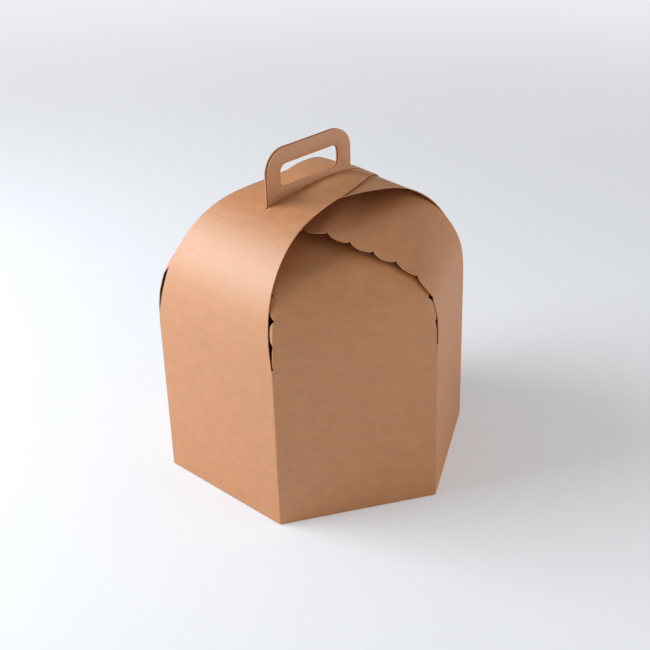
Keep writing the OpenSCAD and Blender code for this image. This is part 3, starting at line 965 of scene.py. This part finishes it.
class GlueBase(bpy.types.Operator):
    """Lays the base panel, the flanges glued down on it and the glue lap inside the seam corner"""
    bl_idname = "mesh.gable_base"
    bl_label = "Base and Glued Flaps"

    def base_panel(self, folds):
        deselect()
        inside = folds.apothem - FOLD_R - PANEL_AIR
        bpy.ops.mesh.primitive_circle_add(vertices=6, radius=inside / COS30, fill_type="NGON")
        panel = named("base_panel")
        edit(panel)
        bpy.ops.mesh.inset(thickness=PANEL_RIM)
        close_edit()
        thicken(panel, folds.sizes.board)
        map_flat(panel, 0, 1)
        belongs(panel)

    def flange(self, folds):
        """One flange, at the inner band's wall, with its ends cut at 45 degrees."""
        sizes = folds.sizes
        inner = folds.apothem - sizes.board - FLANGE_AIR
        long = inner * TAN30 - sizes.flap_air
        deselect()
        bpy.ops.mesh.primitive_plane_add(size=2)
        piece = bpy.context.object
        for vertex in piece.data.vertices:
            far = vertex.co.x > 0
            reach = long if far else long - sizes.flange
            vertex.co = (inner if far else inner - sizes.flange,
                         math.copysign(reach, vertex.co.y), sizes.board + GLUE_AIR)
        thicken(piece, sizes.board)
        return piece

    def glue_lap(self, folds):
        sizes = folds.sizes
        far = sizes.side / 2 - sizes.flap_air - sizes.lap / 2
        high = sizes.wall - 4 * sizes.board
        thin = sizes.board * LAP_THIN
        x, y = on_wall(SEAM_WALL, folds.apothem - sizes.board - GLUE_AIR - thin / 2, far)
        deselect()
        bpy.ops.mesh.primitive_cube_add(size=1, location=(x, y, sizes.wall / 2),
                                        rotation=(0, 0, math.radians(SEAM_WALL)),
                                        scale=(thin, sizes.lap, high))
        lap = named("glue_lap")
        set_down(lap)
        out = Vector((*normal_of(SEAM_WALL), 0))
        side = Vector((*on_wall(SEAM_WALL, 0.0, 1.0), 0))

        def at_free_end(a, b):
            return abs((a - b).normalized().dot(out)) > 0.9 and (a + b).dot(side) / 2 < far

        bevel_edges(lap, at_free_end, offset=LAP_CHAMFER, segments=1)
        paint_edges(lap, out)
        map_flat(lap, 0, 2)
        belongs(lap)

    def execute(self, context):
        folds = Folds(context.scene.gable_sizes)
        self.base_panel(folds)
        model = self.flange(folds)
        copies = [model]
        for wall in WALLS[2:]:
            select(model)
            bpy.ops.object.duplicate(linked=False)
            copy = context.object
            copy.rotation_euler = (0, 0, math.radians(wall - 60))
            set_down(copy)
            copies.append(copy)
        for copy in copies:
            map_flat(copy, 0, 1)
        flanges = join(copies, "base_flanges")
        flanges.rotation_euler = (0, 0, math.radians(60))
        set_down(flanges)
        belongs(flanges)
        self.glue_lap(folds)
        return {"FINISHED"}


class CutHandle(bpy.types.Operator):
    """Cuts the two halves of the carrying handle with their finger slot"""
    bl_idname = "mesh.gable_handle"
    bl_label = "Carrying Handle"

    def rounded_board(self, name, size, at, radius, corners):
        """A board standing in the plane of the handle with some of its corners rounded."""
        deselect()
        bpy.ops.mesh.primitive_cube_add(size=1, location=at, scale=size)
        board = named(name)
        set_down(board)
        bevel_edges(board, lambda a, b: abs(a.y - b.y) > size[1] / 2 and corners(a),
                    offset=radius, segments=12)
        return board

    def splay(self, half, side, start, lean):
        """Above the bands the halves stand a little apart."""
        edit(half)
        bpy.ops.mesh.bisect(plane_co=(0, 0, start), plane_no=(0, 0, 1))
        close_edit()
        for vertex in half.data.vertices:
            vertex.co.y += side * lean * max(0.0, vertex.co.z - start)

    def half(self, folds, name, side, slip, drop, lean):
        sizes = folds.sizes
        foot, top = folds.crown - sizes.board / 2, sizes.top - drop
        x = -sizes.handle_left - slip
        y = side * (sizes.half_gap + sizes.board) / 2
        middle = (top + foot) / 2
        half = self.rounded_board(name, (sizes.handle_w, sizes.board, top - foot), (x, y, middle),
                                  sizes.handle_r, lambda a: a.z > middle)
        slot = self.rounded_board("finger_slot", (sizes.slot_w, 4 * sizes.board, sizes.slot_h),
                                  (x, y, top - sizes.grip - sizes.slot_h / 2), sizes.slot_r,
                                  lambda a: True)
        add_modifier(half, "BOOLEAN", operation="DIFFERENCE", object=slot, solver="EXACT")
        bpy.data.objects.remove(slot)
        self.splay(half, side, sizes.wall + folds.band_rise + LEAN_START, lean)
        add_modifier(half, "BEVEL", width=RIM_BEVEL, segments=2, limit_method="ANGLE",
                     angle_limit=math.radians(60))
        paint_edges(half, (0, 1, 0))
        map_flat(half, 0, 2)
        smooth(half)
        belongs(half)

    def execute(self, context):
        folds = Folds(context.scene.gable_sizes)
        sizes = folds.sizes
        self.half(folds, "handle_front", -1, 0.0, sizes.handle_drop, FRONT_LEAN)
        self.half(folds, "handle_back", 1, sizes.handle_slip, 0.0, BACK_LEAN)
        return {"FINISHED"}


# ---- stage

CAMERA_AT = Vector((-0.74022, -0.74995, 0.67641))
CAMERA_AIM = Vector((0.00551, -0.00551, 0.12735))
CAMERA_ROLL = math.radians(-1.794)
SENSOR_WIDTH = 36.0
FLOOR_HALF, FLOOR_DROP = 6.0, 0.2 * MM
HAZE_START, HAZE_END = 0.5, 2.2
LAMP_AIM = Vector((0, 0, 0.14))
ROOM_COLOUR = (1.0, 0.98, 0.96)
# Azimuth and elevation in degrees, distance, size and colour of each lamp
LAMPS = {
    "key": (134, 31, 1.5, 1.2, (0.93, 1.0, 1.07)),
    "fill": (-42, 6, 1.7, 0.9, (0.95, 1.0, 1.04)),
    "front": (-80, 8, 1.1, 0.6, (1.0, 0.94, 0.85)),
}


class SetStage(bpy.types.Operator):
    """Sets the floor, the soft lamps, the room light and the camera"""
    bl_idname = "scene.gable_stage"
    bl_label = "Stage"

    def floor(self, setup):
        deselect()
        bpy.ops.mesh.primitive_grid_add(x_subdivisions=8, y_subdivisions=8, size=2 * FLOOR_HALF,
                                        location=(0, 0, -FLOOR_DROP))
        floor = named("studio_floor")
        set_down(floor)
        paper = bpy.data.materials.new("studio_paper")
        paper.use_nodes = True
        tree = paper.node_tree
        shader = tree.nodes["Principled BSDF"]
        shader.inputs["Base Color"].default_value = opaque(setup.floor)
        shader.inputs["Roughness"].default_value = 0.9
        shader.inputs["Specular IOR Level"].default_value = 0.1
        seen = add(tree, "ShaderNodeEmission", (0, -300), Color=opaque(setup.backdrop))
        path = add(tree, "ShaderNodeLightPath", (0, 500))
        place = add(tree, "ShaderNodeTexCoord", (-600, 400))
        away = add(tree, "ShaderNodeVectorMath", (-400, 400), operation="LENGTH")
        tree.links.new(place.outputs["Object"], away.inputs[0])
        fade = span(tree, (-200, 400), away.outputs["Value"], HAZE_START, HAZE_END,
                    setup.haze, 1.0)
        part = calc(tree, (20, 400), "MULTIPLY", path.outputs["Is Camera Ray"], fade)
        mix_shaders(tree, (320, 100), part, shader, seen,
                    tree.nodes["Material Output"].inputs["Surface"])
        floor.data.materials.append(paper)

    def lamp(self, name, azimuth, elevation, distance, size, power, colour):
        """A square soft lamp that looks at the middle of the box."""
        a, e = math.radians(azimuth), math.radians(elevation)
        away = Vector((math.cos(a) * math.cos(e), math.sin(a) * math.cos(e), math.sin(e)))
        bpy.ops.object.light_add(type="AREA", location=LAMP_AIM + away * distance)
        lamp = named(name)
        lamp.rotation_euler = (-away).to_track_quat("-Z", "Y").to_euler()
        lamp.data.size = size
        lamp.data.energy = power
        lamp.data.color = colour

    def room(self, setup):
        world = bpy.data.worlds.new("studio_room")
        bpy.context.scene.world = world
        world.use_nodes = True
        tree = world.node_tree
        tree.nodes.clear()
        even = add(tree, "ShaderNodeBackground", (0, 0), Color=opaque(ROOM_COLOUR),
                   Strength=setup.air)
        seen = add(tree, "ShaderNodeBackground", (0, -160), Color=opaque(setup.backdrop))
        path = add(tree, "ShaderNodeLightPath", (-200, 200))
        out = add(tree, "ShaderNodeOutputWorld", (440, 0))
        mix_shaders(tree, (220, 0), path.outputs["Is Camera Ray"], even, seen,
                    out.inputs["Surface"])

    def camera(self, setup):
        bpy.ops.object.camera_add(location=CAMERA_AT)
        camera = named("photo_angle")
        camera.data.sensor_width = SENSOR_WIDTH
        camera.data.lens = setup.lens
        camera.rotation_mode = "QUATERNION"
        camera.rotation_quaternion = ((CAMERA_AIM - CAMERA_AT).to_track_quat("-Z", "Y")
                                      @ Quaternion((0, 0, 1), CAMERA_ROLL))
        bpy.context.scene.camera = camera

    def execute(self, context):
        setup = context.scene.gable_stage
        self.floor(setup)
        for name, (azimuth, elevation, distance, size, colour) in LAMPS.items():
            self.lamp(f"{name}_lamp", azimuth, elevation, distance, size, getattr(setup, name),
                      colour)
        self.room(setup)
        self.camera(setup)
        context.scene.view_settings.view_transform = "Standard"
        return {"FINISHED"}


# ---- add-on

OPERATORS = (FoldCartonShell, FoldLockingBand, GlueBase, CutHandle, SetStage)


class GableBoxPanel(bpy.types.Panel):
    """Lists the steps that fold the box and set the stage"""
    bl_idname = "VIEW3D_PT_gable_box"
    bl_label = "Gable Box"
    bl_space_type = "VIEW_3D"
    bl_region_type = "UI"
    bl_category = "Gable Box"

    def draw(self, context):
        layout = self.layout
        for step in OPERATORS:
            layout.operator(step.bl_idname)
        for name in GROUPS:
            group = getattr(context.scene, name)
            box = layout.box()
            for key in group.__annotations__:
                box.prop(group, key)


GROUPS = {"gable_sizes": BoxSizes, "gable_board": BoardLook, "gable_stage": StageSetup}
CLASSES = (*GROUPS.values(), *OPERATORS, GableBoxPanel)


def register():
    for item in CLASSES:
        bpy.utils.register_class(item)
    for name, group in GROUPS.items():
        setattr(bpy.types.Scene, name, bpy.props.PointerProperty(type=group))


def unregister():
    for name in GROUPS:
        delattr(bpy.types.Scene, name)
    for item in reversed(CLASSES):
        bpy.utils.unregister_class(item)


def main():
    register()
    bpy.ops.mesh.gable_carton_shell()
    bpy.ops.mesh.gable_locking_band()
    bpy.ops.mesh.gable_base()
    bpy.ops.mesh.gable_handle()
    bpy.ops.scene.gable_stage()


if __name__ == "__main__":
    main()
